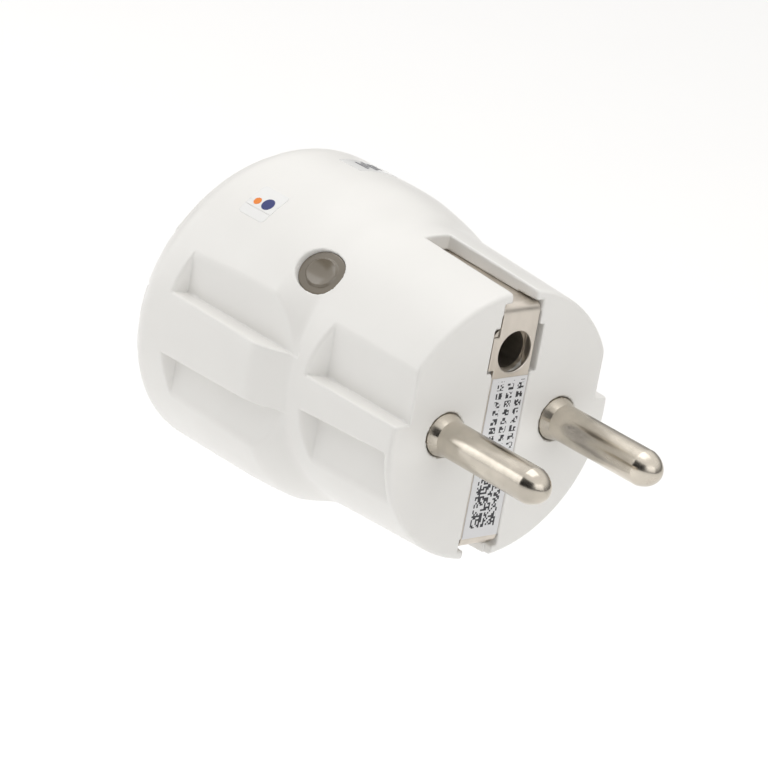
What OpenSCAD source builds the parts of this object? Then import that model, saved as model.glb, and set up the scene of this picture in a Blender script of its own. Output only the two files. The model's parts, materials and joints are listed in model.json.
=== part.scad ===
// Round plug-in power meter: a plug with two pins on one end, an earthed socket on the other,
// and a metering and switching circuit with a push button between them.
// Lengths are in millimetres. Each sub-part is drawn in the plug's own frame, where x is across
// the pins, y is up and z is the depth behind the plug face; on_axis() turns that into the part's
// frame, where the pins point along +Y and +Z is up.

/* [Plug] */
// Radius of the plug face
face_r = 18.1; // [17.5:0.1:18.6]
// Distance between the two pins
pin_pitch = 19; // [18.8:0.1:19.2]
// Radius of a pin
pin_r = 2.4; // [2.35:0.01:2.42]
// Length of a pin in front of the face
pin_len = 19; // [18.5:0.1:19.5]
// Height of the earth pin's hole above the pins
earth_up = 10; // [9.8:0.1:10.2]
// Radius of the earth pin's hole
earth_r = 2.6; // [2.5:0.05:2.7]
// Thickness of the face wall
face_t = 2.6; // [2.4:0.1:2.8]

/* [Body] */
// Radius of the socket end
body_r = 21.5; // [21.4:0.05:21.7]
// Depth of the socket rim behind the plug face, on the axis
body_len = 48.5; // [48:0.1:49]
// Depth at which the shoulder starts, on the axis
shoulder_at = 20; // [19.8:0.1:20.2]
// Length of the shoulder
shoulder_len = 11; // [10:0.5:12]
// Backward lean of the shoulder
shoulder_lean = 4; // [3:0.1:5]
// Forward lean of the socket rim
rim_lean = 5; // [4:0.1:6]

/* [Grips] */
// Half width of the grip rib on the plug section
plug_rib = 2.1; // [1.9:0.05:2.3]
// Half width of the grip rib on the socket section
body_rib = 4.05; // [3.8:0.05:4.2]
// Distance from the axis to the floor of a plug grip
plug_grip_x = 15.8; // [15.7:0.1:16.2]
// Distance from the axis to the floor of a body grip
body_grip_x = 18.5; // [18.4:0.1:18.8]
// Depth at which the plug grips end
plug_grip_end = 17.3; // [16.8:0.1:17.6]
// Depth at which the body grips end
body_grip_end = 42; // [41:0.1:43]

/* [Socket] */
// Radius of the socket well
well_r = 19.4; // [19.3:0.05:19.5]
// Depth of the socket well
well_deep = 17.5; // [17:0.1:18]
// Radius of the holes for the other plug's pins
entry_r = 2.7; // [2.6:0.05:2.8]
// Turn of the shutter from shut to open
shutter_turn = 38; // [36:1:40]

/* [Button] */
// Angle of the button above the pin plane
button_angle = 44; // [40:1:50]
// Depth of the button behind the plug face
button_at = 22.3; // [22:0.1:22.6]
// Radius of the button hole
button_hole_r = 3.1; // [3:0.05:3.2]
// Distance from the axis to the outer face of the button
button_top = 19.3; // [19.1:0.1:19.5]
// Gap around the button
button_gap = 0.12; // [0.1:0.01:0.2]

/* [Earthing] */
// Half width of the earth strap
strap_half = 3.05; // [2.9:0.05:3.1]
// Thickness of the earth strap
strap_t = 0.5; // [0.4:0.05:0.6]
// Half width of the slots over the side contacts
slot_half = 2; // [1.8:0.1:2.2]
// Height of a side contact above the axis, at the face
contact_up = 16.35; // [16.2:0.05:16.4]

/* [Hidden] */
$fn = 96;

// Overlap that makes one cut run past another
eps = 0.01;
pin_x = pin_pitch / 2;
// Radius gained per millimetre of depth by the plug section
plug_draft = 0.045;
// Rounding where the face meets the side
face_edge = 0.8;
// Far past the object in any direction
far = 60;

// Radius of the plug section at a depth
function plug_r(depth) = face_r + plug_draft * depth;
// Distance from the axis to the top of a side contact at a depth
contact_rise = 0.035;
function contact_top(depth) = contact_up + contact_rise * depth;

// Walls and the bore of the shell
shell_wall = 1.2;
bore_r = body_r - shell_wall;
insert_gap = 0.05;
insert_r = bore_r - insert_gap;
well_floor = body_len - well_deep;
floor_t = 1.8;
floor_back = well_floor - floor_t;
skirt_from = well_floor - 0.6;
// Flat inner sides behind the grips
plug_flat_x = 14.3;
body_flat_x = 17.2;
flat_from = 2.85;
flat_to = 11.1;
insert_flat_x = body_flat_x - 0.1;
guide_x = 16.2;
guide_from = 3.6;
guide_to = 8.8;

// Screw posts, on a diagonal away from the button
post_r = 2;
post_at = [-8.4, 12];
screw_r = 1;
screw_head_r = 1.9;

// Boards
board_z = 9.4;
board_t = 1.2;
board_top = board_z + board_t;
board_half_x = 13.8;
board_half_y = 15.2;
radio_rho = 11.4;
radio_t = 1;
radio_half = 9;
radio_from = 17.5;
radio_to = 26.2;
switch_rho = radio_rho + radio_t;
switch_h = 2;
plunger_h = 1.2;
plunger_r = 0.9;
cap_foot = switch_rho + switch_h + plunger_h + 0.04;

// Carrier, shutter and contacts
carrier_z = 26.5;
carrier_t = 1.2;
carrier_top = carrier_z + carrier_t;
shutter_z = carrier_top + 0.2;
shutter_t = 1.1;
pivot_r = 1.6;
tulip_in = 2.45;
tulip_out = 3;
tulip_from = 13;

// Arc of the shoulder, and the depth at which the shoulder's axis crosses the plug's axis
shoulder_arc = 33;
shoulder_crest = [body_r + 0.55, shoulder_len + 3.2];
shoulder_pivot = 24;
// Soft edge of the rim, lip of the lower plug grips, and the rise of every grip's floor
rim_arc = 7.5;
rim_crest = [body_r + 0.5, 5.5];
grip_lip = 1.2;
grip_rise = 0.6;

// Pins and earthing at the face
collar_r = 2.95;
flange_r = 3.5;
tail_r = 1.5;
strap_z = 0.15;
channel_t = strap_z + strap_t + 0.05;
leaf_end = 16;
wing_y = [7.6, 13.2];
wing_deep = 1.5;
sleeve_r = 3.25;
sleeve_len = 14.6;

// Screws and pillars
screw_len = 8;
pillar_y = 12.8;
clip_slot_end = 45.5;

// Relay
relay_half_x = 5.1;
relay_y = [-14.6, 4.2];
relay_top = 25.4;
relay_base_t = 1.4;
coil_y = -8.6;
hinge = [-13.2, 23.2];

white = [0.93, 0.93, 0.91];
nickel = [0.75, 0.72, 0.67];
brass = [0.8, 0.66, 0.35];
copper = [0.78, 0.45, 0.25];
board_green = [0.12, 0.38, 0.22];
smoke = [0.42, 0.4, 0.36];

// ---- helpers ----

module on_axis() {
  rotate([90, 0, 0]) children();
}

// Depth z along the axis
module at_depth(z) {
  translate([0, 0, z]) children();
}

// A box from its two corners
module span(from, to) {
  translate(from) cube(to - from);
}

// The same thing on the left and on the right
module both_sides() {
  children();
  mirror([1, 0, 0]) children();
}

// The same thing above and below
module above_and_below() {
  children();
  mirror([0, 1, 0]) children();
}

// An outline of [height, depth] points, given width across x
module across(half_width) {
  rotate([90, 0, 90]) translate([0, 0, -half_width]) linear_extrude(2 * half_width) children();
}

// An outline of [x, depth] points, from one height to another
module upright(from, to) {
  translate([0, to, 0]) rotate([90, 0, 0]) linear_extrude(to - from) children();
}

// Local x runs outward along the button's axis and local z runs along the depth
module at_button() {
  rotate([0, 0, button_angle]) children();
}

// A cylinder on the button's axis, between two distances from the plug's axis
module button_rod(r, from, to) {
  at_button() translate([from, 0, button_at]) rotate([0, 90, 0]) cylinder(r = r, h = to - from);
}

module at_posts() {
  for (turn = [0, 180]) rotate([0, 0, turn]) translate([post_at[0], post_at[1], 0]) children();
}

module at_pins() {
  for (x = [-pin_x, pin_x]) translate([x, 0, 0]) children();
}

// ---- outside of the housing ----

module plug_section() {
  reach = shoulder_at + 5;
  rotate_extrude() {
    polygon([
      [0, 0], [face_r - face_edge, 0], [plug_r(face_edge), face_edge],
      [plug_r(reach), reach], [0, reach]
    ]);
    translate([plug_r(face_edge) - face_edge, face_edge]) circle(face_edge);
  }
}

// An outline whose side is an arc up to a depth, then a line that widens. The crest is the
// arc's widest point as [radius, depth].
module soft_edge(arc_r, crest, from, to, widen) {
  end_r = crest[0] - arc_r + sqrt(arc_r * arc_r - (crest[1] - to) * (crest[1] - to));
  intersection() {
    translate([0, from]) square([crest[0] + 1, to - from]);
    translate([crest[0] - arc_r, crest[1]]) circle(arc_r, $fn = 360);
  }
  polygon([
    [0, to - 1], [end_r - 0.6, to - 1], [end_r, to], [end_r + widen * far, to + far], [0, to + far]
  ]);
}

module shoulder() {
  at_depth(shoulder_pivot) rotate([shoulder_lean, 0, 0]) at_depth(shoulder_at - shoulder_pivot)
    rotate_extrude() soft_edge(shoulder_arc, shoulder_crest, -1.5, shoulder_len, 0.1);
}

module rim() {
  at_depth(body_len) rotate([-rim_lean, 0, 0]) mirror([0, 0, 1]) rotate_extrude()
    soft_edge(rim_arc, rim_crest, 0, rim_crest[1], 0.12);
}

module socket_section() {
  intersection() {
    shoulder();
    rim();
    at_depth(shoulder_at - 5) cylinder(r = body_r, h = body_len);
  }
}

// A recess beside the grip rib: a sloping floor and a sloping end
module grip(floor_x, rib, from, to, end_slope, end_reach) {
  top_x = floor_x + grip_rise;
  upright(rib, far / 4) polygon([
    [floor_x, from], [far / 2, from], [far / 2, to + end_reach],
    [top_x + end_slope[0], to], [top_x, to - end_slope[1]]
  ]);
}

module plug_grips() {
  slope = [2.8, 1.8];
  both_sides() {
    grip(plug_grip_x, plug_rib, -1, plug_grip_end, slope, 7);
    mirror([0, 1, 0]) grip(plug_grip_x, plug_rib, grip_lip, plug_grip_end, slope, 7);
  }
}

module body_grips() {
  both_sides() above_and_below()
    grip(body_grip_x, body_rib, shoulder_at - 1, body_grip_end, [2.4, 1.3], 5);
}

// ---- inside of the housing ----

module shell_bore() {
  rotate_extrude() polygon([
    [0, face_t], [contact_up + 0.4, face_t], [contact_top(plug_grip_end) + 0.4, plug_grip_end],
    [17.9, 22.2], [18.7, 24], [19.3, 26.5], [bore_r, 29.2], [bore_r, far], [0, far]
  ]);
}

// Thick walls inside the shell, behind the grips
module grip_backs() {
  both_sides() {
    span([plug_flat_x, -far / 2, 0], [far / 2, far / 2, plug_grip_end]);
    above_and_below() span([body_flat_x, flat_from, 0], [far / 2, flat_to, far]);
  }
}

module strap_path() {
  span([-strap_half - 0.1, -contact_up - 0.25, -1], [strap_half + 0.1, contact_up + 0.25, channel_t]);
  above_and_below() {
    span([-strap_half - 0.1, contact_up - 0.8, -1], [strap_half + 0.1, contact_up + 0.25, face_t + 1]);
    span([-slot_half, contact_up - 0.8, -1], [slot_half, far / 2, plug_grip_end]);
  }
  span([-strap_half - 0.7, wing_y[0] - 0.6, -1], [strap_half + 0.7, wing_y[1] + 1.9, wing_deep + 0.2]);
  span([-3.3, -far / 2, -1], [3.3, -15.1, 1.2]);
}

// The whole moulding; its two nodes are cut from it where the well begins
module housing() {
  difference() {
    union() {
      difference() {
        union() {
          plug_section();
          socket_section();
        }
        difference() {
          shell_bore();
          grip_backs();
        }
      }
      at_posts() at_depth(face_t - eps) cylinder(r = post_r, h = floor_back - face_t - 0.05);
    }
    plug_grips();
    body_grips();
    strap_path();
    at_pins() at_depth(-1) cylinder(r = collar_r + 0.05, h = face_t + 2);
    translate([0, earth_up, -1]) cylinder(r = sleeve_r + 0.05, h = face_t + 2);
    button_rod(button_hole_r, radio_rho + 3, far / 2);
    at_posts() at_depth(floor_back - screw_len) cylinder(r = screw_r + 0.02, h = screw_len + 1);
  }
}

module housing_shell() {
  color(white) on_axis() difference() {
    housing();
    at_depth(skirt_from) cylinder(r = far, h = far);
  }
}

// The wall round the socket
module housing_skirt() {
  color(white) on_axis() intersection() {
    housing();
    at_depth(skirt_from) cylinder(r = far, h = far);
  }
}

// ---- plug end ----

// A pin with its round tip, the collar at the face, the flange behind the wall and the tail
module plug_pin(side) {
  color(nickel) on_axis() translate([side * pin_x, 0, 0]) {
    at_depth(-pin_len + pin_r) sphere(pin_r);
    at_depth(-pin_len + pin_r) cylinder(r = pin_r, h = pin_len - pin_r);
    rotate_extrude() polygon([
      [0, -1.3], [pin_r, -1.3], [collar_r, -0.6], [collar_r, face_t + 0.02], [flange_r, face_t + 0.02],
      [flange_r, face_t + 1], [tail_r, face_t + 1], [tail_r, board_top + 0.4], [0, board_top + 0.4]
    ]);
  }
}

module live_pin() {
  plug_pin(1);
}

module neutral_pin() {
  plug_pin(-1);
}

// One strip: down the face past the earth hole, and back along the top and the bottom
module earth_strap() {
  color(nickel) on_axis() {
    difference() {
      union() {
        across(strap_half) polygon([
          [-contact_up, strap_z + 0.3], [-contact_up + 0.3, strap_z], [contact_up - 0.3, strap_z],
          [contact_up, strap_z + 0.3], [contact_top(leaf_end), leaf_end],
          [contact_top(leaf_end) - strap_t, leaf_end], [contact_up - strap_t, strap_z + strap_t],
          [-contact_up + strap_t, strap_z + strap_t], [-contact_top(leaf_end) + strap_t, leaf_end],
          [-contact_top(leaf_end), leaf_end]
        ]);
        both_sides() span(
          [strap_half - 0.4, wing_y[0], strap_z + 0.1], [strap_half, wing_y[1], wing_deep]
        );
      }
      translate([0, earth_up, -1]) cylinder(r = sleeve_r - 0.55, h = 4);
    }
  }
}

// Spring sleeve that takes the socket's earth pin
module earth_sleeve() {
  color(nickel) on_axis() translate([0, earth_up, 0]) difference() {
    at_depth(wing_deep + 0.05) cylinder(r = sleeve_r, h = sleeve_len);
    at_depth(-1) cylinder(r = earth_r, h = sleeve_len + 4);
    span([-0.3, -far, 6], [0.3, far, far]);
  }
}

module rating_label() {
  color("white") on_axis() span([-2.95, -15.05, strap_z - 0.1], [2.95, 6.65, strap_z]);
}

// A thin patch on the socket section, between two angles and two depths
module patch(angles, depths) {
  on_axis() intersection() {
    difference() {
      at_depth(depths[0]) cylinder(r = body_r + 0.08, h = depths[1] - depths[0]);
      at_depth(0) cylinder(r = body_r, h = far);
    }
    linear_extrude(far) polygon([
      [0, 0], far * [cos(angles[0]), sin(angles[0])], far * [cos(angles[1]), sin(angles[1])]
    ]);
  }
}

module mark_sticker() {
  color("white") patch([47, 61], [34.4, 39.4]);
}

module info_sticker() {
  color("white") patch([93, 112], [34.6, 39.2]);
}

// ---- button and radio ----

module button_cap() {
  raised_r = 2;
  raised_by = 0.35;
  flange_from = button_top - 3.4;
  flange_to = button_top - 2.7;
  color(smoke) on_axis() {
    button_rod(button_hole_r - button_gap, flange_from, button_top - raised_by);
    button_rod(raised_r, flange_from, button_top);
    button_rod(button_hole_r + 0.7, flange_from, flange_to);
    button_rod(1.4, cap_foot, flange_from + 0.1);
  }
}

module switch_body() {
  half = 2.25;
  color([0.15, 0.15, 0.15]) on_axis() difference() {
    at_button() span([switch_rho, -half, button_at - half], [switch_rho + switch_h, half, button_at + half]);
    button_rod(plunger_r + 0.05, switch_rho + 0.6, far / 2);
  }
}

module switch_plunger() {
  color([0.85, 0.85, 0.85]) on_axis()
    button_rod(plunger_r, switch_rho + 1.2, switch_rho + switch_h + plunger_h);
}

module status_led() {
  color([0.9, 0.9, 0.8]) on_axis() at_button() {
    span([switch_rho, -4.2, button_at - 0.8], [switch_rho + 0.7, -3, button_at + 0.8]);
  }
}

module radio_board() {
  color(board_green) on_axis() at_button() difference() {
    span([radio_rho, -radio_half, radio_from], [switch_rho, radio_half, radio_to]);
    for (side = [-1, 1]) translate([radio_rho - 1, side * (radio_half - 1.4), radio_to - 1.4])
      rotate([0, 90, 0]) cylinder(r = 0.7, h = 3);
  }
}

module radio_module() {
  color([0.7, 0.7, 0.72]) on_axis() at_button()
    span([switch_rho, 3.2, 18.4], [switch_rho + 1.4, 7.6, 24.8]);
}

// A bent wire trace that stands on the radio board
module antenna() {
  step = 1.6;
  color(copper) on_axis() at_button() {
    for (i = [0:3]) span([switch_rho, -8.4, 18 + i * step], [switch_rho + 0.3, -5.4, 18.4 + i * step]);
    for (i = [0:2]) span(
      [switch_rho, i % 2 == 0 ? -5.8 : -8.4, 18 + i * step],
      [switch_rho + 0.3, i % 2 == 0 ? -5.4 : -8, 18.4 + (i + 1) * step]
    );
  }
}

// Pins that stand on the power board and reach the radio board
module board_header() {
  pitch = 1.27;
  color([0.2, 0.2, 0.2]) on_axis() at_button() {
    span([10.35, 5.5, board_top], [11.3, 8.3, board_top + 2]);
    for (i = [0:1]) span([10.6, 6 + i * pitch, board_top + 2], [11, 6.4 + i * pitch, radio_from + 2]);
    for (i = [0:1]) span([11, 6 + i * pitch, radio_from + 1.6], [radio_rho, 6.4 + i * pitch, radio_from + 2]);
  }
}

// ---- power board ----

module power_board() {
  color(board_green) on_axis() difference() {
    intersection() {
      at_depth(board_z) cylinder(r = contact_up, h = board_t);
      span([-board_half_x, -board_half_y, 0], [board_half_x, board_half_y, far]);
    }
    at_pins() cylinder(r = tail_r + 0.05, h = far);
    translate([0, earth_up, 0]) cylinder(r = sleeve_r + 0.2, h = far);
    at_posts() cylinder(r = post_r + 0.15, h = far);
  }
}

module relay_base() {
  color([0.2, 0.2, 0.22]) on_axis() span(
    [-relay_half_x, relay_y[0], board_top], [relay_half_x, relay_y[1], board_top + relay_base_t]
  );
}

module relay_case() {
  wall = 0.6;
  bottom = board_top + relay_base_t;
  color([0.12, 0.14, 0.3]) on_axis() difference() {
    span([-relay_half_x, relay_y[0], bottom], [relay_half_x, relay_y[1], relay_top]);
    span(
      [-relay_half_x + wall, relay_y[0] + wall, bottom - 1],
      [relay_half_x - wall, relay_y[1] - wall, relay_top - wall]
    );
  }
}

module relay_coil() {
  foot = board_top + relay_base_t + 0.7;
  color(copper) on_axis() translate([0, coil_y, foot]) difference() {
    union() {
      cylinder(r = 3.6, h = 8.8);
      for (z = [0, 8]) at_depth(z) cylinder(r = 4.1, h = 0.8);
    }
    at_depth(-1) cylinder(r = 1.55, h = 12);
  }
}

module relay_yoke() {
  foot = board_top + relay_base_t;
  color([0.7, 0.7, 0.7]) on_axis() {
    span([-3, hinge[0] - 0.4, foot], [3, hinge[0] + 0.4, hinge[1] - 0.75]);
    span([-3, hinge[0] - 0.4, foot], [3, coil_y + 1.5, foot + 0.68]);
    translate([0, coil_y, foot + 0.3]) cylinder(r = 1.5, h = 9.9);
  }
}

module relay_armature() {
  color([0.75, 0.75, 0.75]) on_axis() {
    span([-3, hinge[0] - 0.4, hinge[1] - 0.4], [3, -4.4, hinge[1] + 0.4]);
  }
}

module relay_contact_arm() {
  color(copper) on_axis() {
    span([-1.6, -10, hinge[1] + 0.4], [1.6, 2.8, hinge[1] + 0.7]);
    translate([0, 1.5, hinge[1] - 0.5]) cylinder(r = 1.2, h = 0.9);
  }
}

module relay_fixed_contact() {
  foot = board_top + relay_base_t;
  color(brass) on_axis() {
    span([-1.6, 2.2, foot], [1.6, 2.8, hinge[1] - 2.9]);
    span([-1.6, 0, hinge[1] - 3.4], [1.6, 2.8, hinge[1] - 2.9]);
    translate([0, 1.4, hinge[1] - 2.9]) cylinder(r = 1.2, h = 0.95);
  }
}

// Flat bridge of known resistance between the live pin's tail and the relay
module current_shunt() {
  color(copper) on_axis() {
    span([5.2, -4.2, 6.4], [5.8, -2.2, board_z]);
    span([-0.4, -4.2, 6.4], [0.2, -2.2, board_z]);
    span([-0.4, -4.2, 5.9], [5.8, -2.2, 6.4]);
  }
}

module meter_chip() {
  color([0.1, 0.1, 0.1]) on_axis() {
    span([-3.6, 1.2, board_z - 1.6], [2.4, 4.6, board_z - 0.2]);
    for (i = [0:7], y = [0.5, 4.6]) span(
      [-3.3 + i * 0.75, y, board_z - 0.7], [-3.0 + i * 0.75, y + 0.7, board_z]
    );
  }
}

module supply_capacitor() {
  color([0.75, 0.55, 0.1]) on_axis() span([-12.3, 4.2, board_top], [-6.4, 9.2, board_top + 11]);
}

module bulk_capacitors() {
  can_r = 2.5;
  color([0.15, 0.15, 0.2]) on_axis() for (at = [[-10.4, -7.4], [10.8, -6.9]])
    translate([at[0], at[1], board_top]) {
      cylinder(r = can_r, h = 11);
      cylinder(r = can_r + 0.1, h = 1);
    }
}

module supply_inductor() {
  color([0.25, 0.25, 0.25]) on_axis() translate([9.8, 7.6, board_top]) {
    cylinder(r = 2.8, h = 0.8);
    cylinder(r = 1.9, h = 4.4);
    at_depth(3.8) cylinder(r = 2.8, h = 0.8);
  }
}

module varistor() {
  disc_r = 3.1;
  disc_t = 2.6;
  color([0.15, 0.3, 0.6]) on_axis() translate([0, -10, board_z - disc_r - 0.2]) rotate([0, 90, 0])
    at_depth(-disc_t / 2) cylinder(r = disc_r, h = disc_t);
}

module fuse_resistor() {
  color([0.3, 0.5, 0.35]) on_axis() {
    translate([-9, 7, board_z - 1.6]) rotate([0, 90, 0]) cylinder(r = 1.2, h = 5);
    for (x = [-9.6, -3.9]) translate([x, 7, board_z - 1.6]) cylinder(r = 0.3, h = 1.6);
    translate([-9.6, 7, board_z - 1.6]) rotate([0, 90, 0]) cylinder(r = 0.3, h = 5.7);
  }
}

// ---- socket end ----

module side_notches(x, from, to, bottom) {
  both_sides() above_and_below() span([x, from, bottom], [far / 2, to, far]);
}

module socket_insert() {
  clip_slot = 3.1;
  color(white) on_axis() difference() {
    union() {
      difference() {
        intersection() {
          at_depth(floor_back) cylinder(r = insert_r, h = far);
          rim();
        }
        at_depth(well_floor) cylinder(r = well_r, h = far);
        side_notches(insert_flat_x, flat_from - 0.1, flat_to + 0.1, 0);
      }
      intersection() {
        rim();
        at_depth(floor_back) cylinder(r = insert_r, h = far);
        difference() {
          side_notches(guide_x, guide_from, guide_to, floor_back);
          side_notches(insert_flat_x, flat_from - 0.1, flat_to + 0.1, 0);
        }
      }
      for (y = [-pillar_y, pillar_y]) translate([0, y, carrier_top + 0.02]) cylinder(r = post_r, h = 2);
    }
    at_pins() at_depth(floor_back - 1) cylinder(r = entry_r, h = floor_t + 2);
    at_pins() at_depth(well_floor - 0.8) cylinder(r1 = entry_r, r2 = entry_r + 0.9, h = 0.9);
    above_and_below() span([-clip_slot, well_r - 2.4, 0], [clip_slot, far / 2, clip_slot_end]);
    at_posts() at_depth(0) cylinder(r = screw_r + 0.1, h = far);
    at_posts() at_depth(well_floor - 1) cylinder(r = screw_head_r + 0.15, h = 2);
    for (y = [-pillar_y, pillar_y]) translate([0, y, carrier_top - 1]) cylinder(r = 0.92, h = 3.2);
  }
}

// Earth contact at one side of the well; it leans in and springs outward
module earth_clip() {
  color(nickel) on_axis() across(2.6) polygon([
    [18.9, 30], [19.4, 30], [19.4, 32.4], [17.6, 40.6], [18.3, 44], [17.9, 44.3], [17, 40.7],
    [18.9, 32]
  ]);
}

module earth_clip_upper() {
  earth_clip();
}

module earth_clip_lower() {
  mirror([0, 0, 1]) earth_clip();
}

// Strips that carry the earth from the side contacts of the plug to the clips
module earth_risers() {
  foot = leaf_end + 0.02;
  foot_y = contact_top(leaf_end);
  color(nickel) on_axis() above_and_below() across(2.4) polygon([
    [foot_y - strap_t, foot], [foot_y - strap_t, leaf_end + 4.5], [18.2, 28.6], [18.2, 29.9],
    [19.4, 29.9], [19.4, 29.5], [18.7, 29.2], [18.7, 28.4], [foot_y, leaf_end + 4.6], [foot_y, foot]
  ]);
}

module contact_carrier() {
  color([0.3, 0.3, 0.32]) on_axis() difference() {
    union() {
      intersection() {
        at_depth(carrier_z) cylinder(r = 18.6, h = carrier_t);
        span([-body_flat_x + 0.2, -far, 0], [body_flat_x - 0.2, far, far]);
      }
      at_depth(carrier_z) cylinder(r = pivot_r, h = shutter_z + shutter_t - carrier_z);
    }
    at_pins() cylinder(r = tulip_out + 0.05, h = far);
    at_posts() cylinder(r = post_r + 0.15, h = far);
    above_and_below() span([-3.3, 15, 0], [3.3, far, far]);
    for (y = [-pillar_y, pillar_y]) translate([0, y, 0]) cylinder(r = 0.95, h = far);
    at_depth(carrier_z + 0.35) difference() {
      cylinder(r = 3.1, h = 2);
      cylinder(r = pivot_r + 0.25, h = 2);
    }
  }
}

// Split tube that grips a pin, with a lug down to the power board
module tulip(side) {
  mouth = carrier_top - 0.1;
  lug = [2.55, 3.25];
  color(brass) on_axis() translate([side * pin_x, 0, 0]) {
    difference() {
      union() {
        at_depth(tulip_from) cylinder(r = tulip_out, h = mouth - tulip_from);
        at_depth(carrier_z - 0.7) cylinder(r = tulip_out + 0.5, h = 0.68);
      }
      at_depth(tulip_from - 1) cylinder(r = tulip_in, h = far);
      span([-0.4, -far, tulip_from + 3], [0.4, far, carrier_z - 1.6]);
      span([-far, -0.4, tulip_from + 3], [far, 0.4, carrier_z - 1.6]);
    }
    mirror([side > 0 ? 0 : 1, 0, 0]) span([lug[0], -1.2, board_top], [lug[1], 1.2, tulip_from + 2]);
  }
}

module live_contact() {
  tulip(1);
}

module neutral_contact() {
  tulip(-1);
}

// Two blades that close the pin holes until both are pushed at once
module shutter() {
  reach = 13.1;
  half_angle = 17;
  color([0.85, 0.3, 0.2]) on_axis() at_depth(shutter_z) difference() {
    union() {
      cylinder(r = 3.4, h = shutter_t);
      intersection() {
        cylinder(r = reach, h = shutter_t);
        both_sides() linear_extrude(shutter_t) polygon([
          [-1, -1.6], [2, -1.6], far * [cos(half_angle), -sin(half_angle)],
          far * [cos(half_angle), sin(half_angle)], [2, 1.6], [-1, 1.6]
        ]);
      }
    }
    at_depth(-1) cylinder(r = pivot_r + 0.05, h = 3);
  }
}

// Two turns of flat wire in the carrier's pocket
module shutter_spring() {
  wire = 0.3;
  inner_r = 2.4;
  foot = carrier_z + 0.4;
  color([0.6, 0.6, 0.62]) on_axis() {
    for (z = [foot, foot + 1.5 * wire]) at_depth(z) difference() {
      cylinder(r = inner_r + wire, h = wire);
      at_depth(-1) cylinder(r = inner_r, h = wire + 2);
    }
    span([inner_r + 0.04, -0.3, foot + 0.1], [inner_r + wire - 0.04, 0.3, foot + 2 * wire]);
  }
}

// ---- fasteners ----

module housing_screws() {
  color([0.55, 0.55, 0.55]) on_axis() at_posts() {
    at_depth(floor_back - screw_len + 0.6) cylinder(r = screw_r, h = screw_len - 0.6 + 0.8);
    at_depth(well_floor - 1) difference() {
      cylinder(r = screw_head_r, h = 0.9);
      for (turn = [0, 90]) rotate([0, 0, turn]) span([-1.1, -0.2, 0.4], [1.1, 0.2, 2]);
    }
  }
}

module carrier_screws() {
  color([0.55, 0.55, 0.55]) on_axis() for (y = [-pillar_y, pillar_y]) translate([0, y, 0]) {
    at_depth(carrier_z) cylinder(r = 0.9, h = carrier_t + 1.9);
    at_depth(carrier_z - 1) difference() {
      cylinder(r = 1.7, h = 1);
      for (turn = [0, 90]) rotate([0, 0, turn]) span([-1, -0.18, -1], [1, 0.18, 0.5]);
    }
  }
}

housing_shell();
housing_skirt();
socket_insert();
live_pin();
neutral_pin();
earth_strap();
earth_sleeve();
rating_label();
mark_sticker();
info_sticker();
button_cap();
switch_body();
switch_plunger();
status_led();
radio_board();
radio_module();
antenna();
board_header();
power_board();
relay_base();
relay_case();
relay_coil();
relay_yoke();
relay_armature();
relay_contact_arm();
relay_fixed_contact();
current_shunt();
meter_chip();
supply_capacitor();
bulk_capacitors();
supply_inductor();
varistor();
fuse_resistor();
contact_carrier();
live_contact();
neutral_contact();
shutter();
shutter_spring();
earth_clip_upper();
earth_clip_lower();
earth_risers();
housing_screws();
carrier_screws();
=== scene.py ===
"""The looks of the plug-in power meter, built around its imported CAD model.

Shapes are worked out in the plug's own frame in millimetres: x across the pins, v up and w the
depth behind the plug face. place() turns that into the part's frame, in metres.
"""
import json
import math

import bpy
import numpy as np
from mathutils import Matrix, Vector


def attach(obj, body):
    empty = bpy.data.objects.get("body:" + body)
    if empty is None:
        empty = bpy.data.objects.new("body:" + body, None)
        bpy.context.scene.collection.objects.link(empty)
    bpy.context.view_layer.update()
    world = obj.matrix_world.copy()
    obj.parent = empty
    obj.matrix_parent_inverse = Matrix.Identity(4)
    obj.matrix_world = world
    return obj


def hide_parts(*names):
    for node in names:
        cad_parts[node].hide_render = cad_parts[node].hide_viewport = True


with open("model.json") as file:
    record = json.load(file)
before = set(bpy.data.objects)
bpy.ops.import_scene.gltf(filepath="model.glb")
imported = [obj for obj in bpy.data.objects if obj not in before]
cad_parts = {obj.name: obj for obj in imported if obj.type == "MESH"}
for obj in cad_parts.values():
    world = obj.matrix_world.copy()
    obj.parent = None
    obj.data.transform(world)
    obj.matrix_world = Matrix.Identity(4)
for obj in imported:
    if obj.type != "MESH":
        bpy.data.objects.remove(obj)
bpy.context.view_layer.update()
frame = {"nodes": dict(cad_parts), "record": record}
NODES = frame["nodes"]
MM = 0.001

# ---------------------------------------------------------------- sizes, as in the CAD model
# The plug: radius at its face, its growth per millimetre of depth, and its end in the barrel
FACE_R, DRAFT, PLUG_END = 18.1, 0.045, 25
# The barrel: its radius, the body's length on its axis, and the lean of its rim
BODY_R, BODY_LEN, RIM_LEAN = 21.5, 48.5, math.radians(5)
# The pins: distance from the middle, radius, length, and the radius of their holes
PIN_X, PIN_R, PIN_LEN, PIN_HOLE_R = 9.5, 2.4, 19.0, 2.98
# Height of the earth hole above the line of the pins
EARTH_UP = 10.0
# The button: its angle round the body, its depth, and the radius and floor of its hole
BUTTON_ANGLE, BUTTON_AT, BUTTON_HOLE_R, BUTTON_FLOOR = math.radians(44), 22.3, 3.1, 14.4
# The earth strap: half its width, its height along the plug, and the rise of that with depth
STRAP_HALF, CONTACT_UP, CONTACT_RISE = 3.05, 16.35, 0.035
# The slots over the strap: half their width, their bed and their end
SLOT_HALF, SLOT_BED, SLOT_END = 2.05, 15.55, 17.3
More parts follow.
